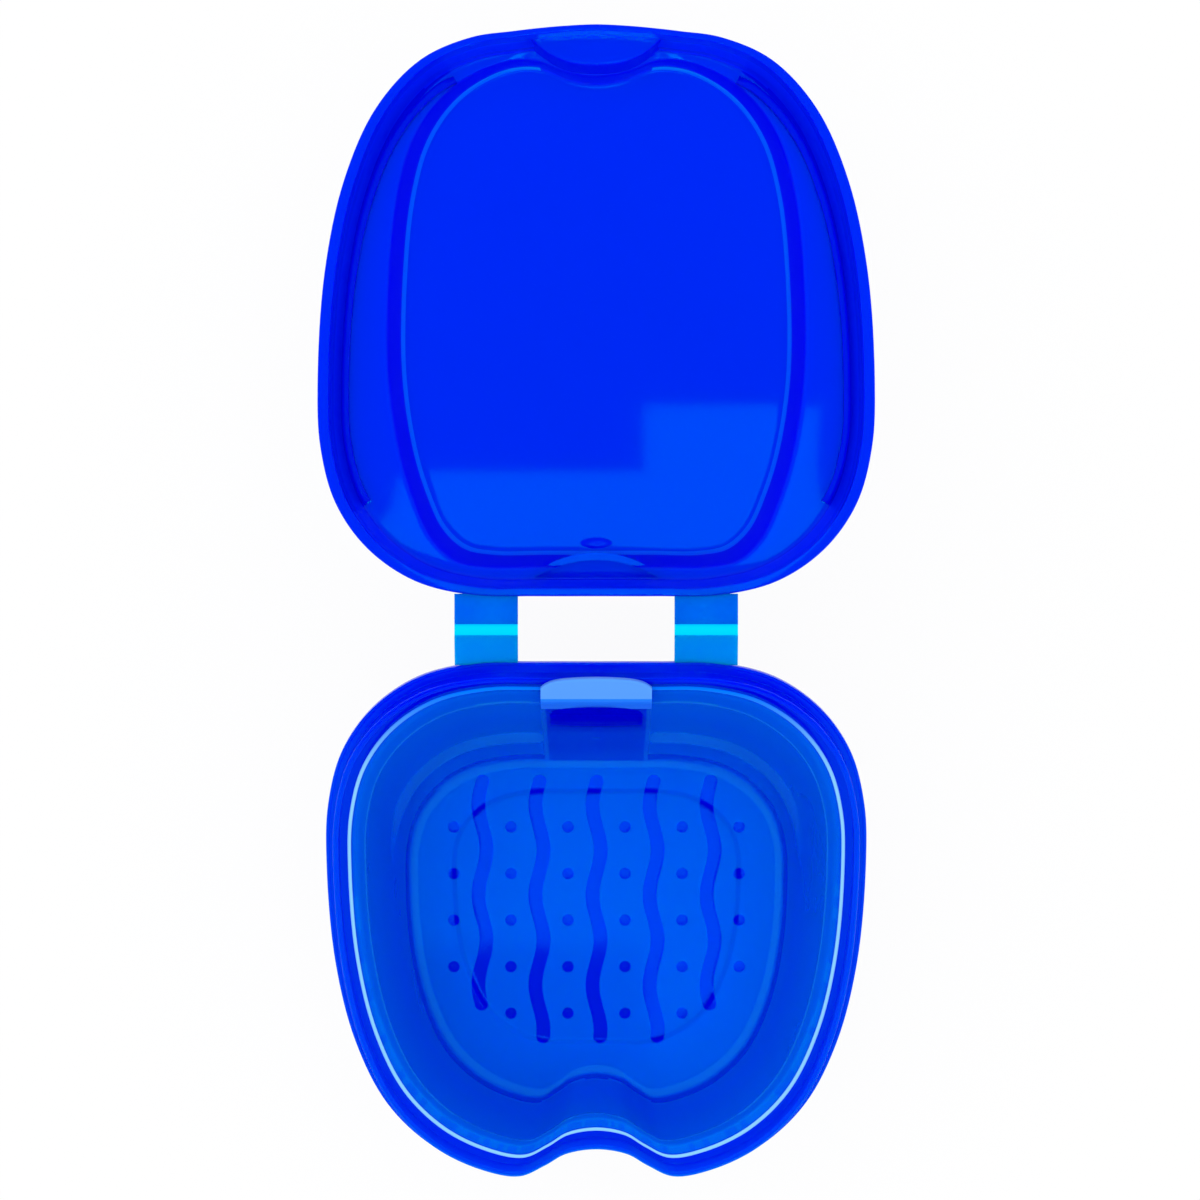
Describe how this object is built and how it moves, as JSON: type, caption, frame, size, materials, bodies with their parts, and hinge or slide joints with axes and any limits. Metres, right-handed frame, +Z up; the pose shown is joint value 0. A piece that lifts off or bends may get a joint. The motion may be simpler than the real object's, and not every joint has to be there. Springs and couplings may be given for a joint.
{
  "type": "denture case",
  "caption": "Apple-shaped denture bath case with a slanted rim, a lid on two moulded hinge straps and a lift-out strainer basket.",
  "frame": {"origin": "middle of the flat foot on the table", "axes": "+Z up, +Y towards the hinge and the opened lid, -Y towards the thumb notch, +X to the right seen from the notch"},
  "size_m": [0.0886, 0.1866, 0.0551],
  "materials": {
    "tub_plastic": "glossy royal blue polypropylene",
    "lid_plastic": "glossy royal blue polypropylene",
    "film_plastic": "thin, light-passing blue polypropylene",
    "natural_plastic": "frosted, see-through natural polypropylene"
  },
  "bodies": {
    "base": {"base_tub": "tub_plastic", "hinge_film_left": "film_plastic", "hinge_film_right": "film_plastic"},
    "lid": {"lid_shell": "lid_plastic"},
    "basket": {"strainer_basket": "natural_plastic"}
  },
  "joints": [
    {"name": "lid_hinge", "type": "hinge", "parent": "base", "child": "lid", "pos_m": [0, 0.0502, 0.052], "axis": [1, 0, 0], "range_deg": [0, 194.5], "deforming": ["hinge_film_left", "hinge_film_right"]},
    {"name": "basket_lift", "type": "slide", "parent": "base", "child": "basket", "axis": [0, 0, 1], "range_m": [0, 0.08]}
  ]
}
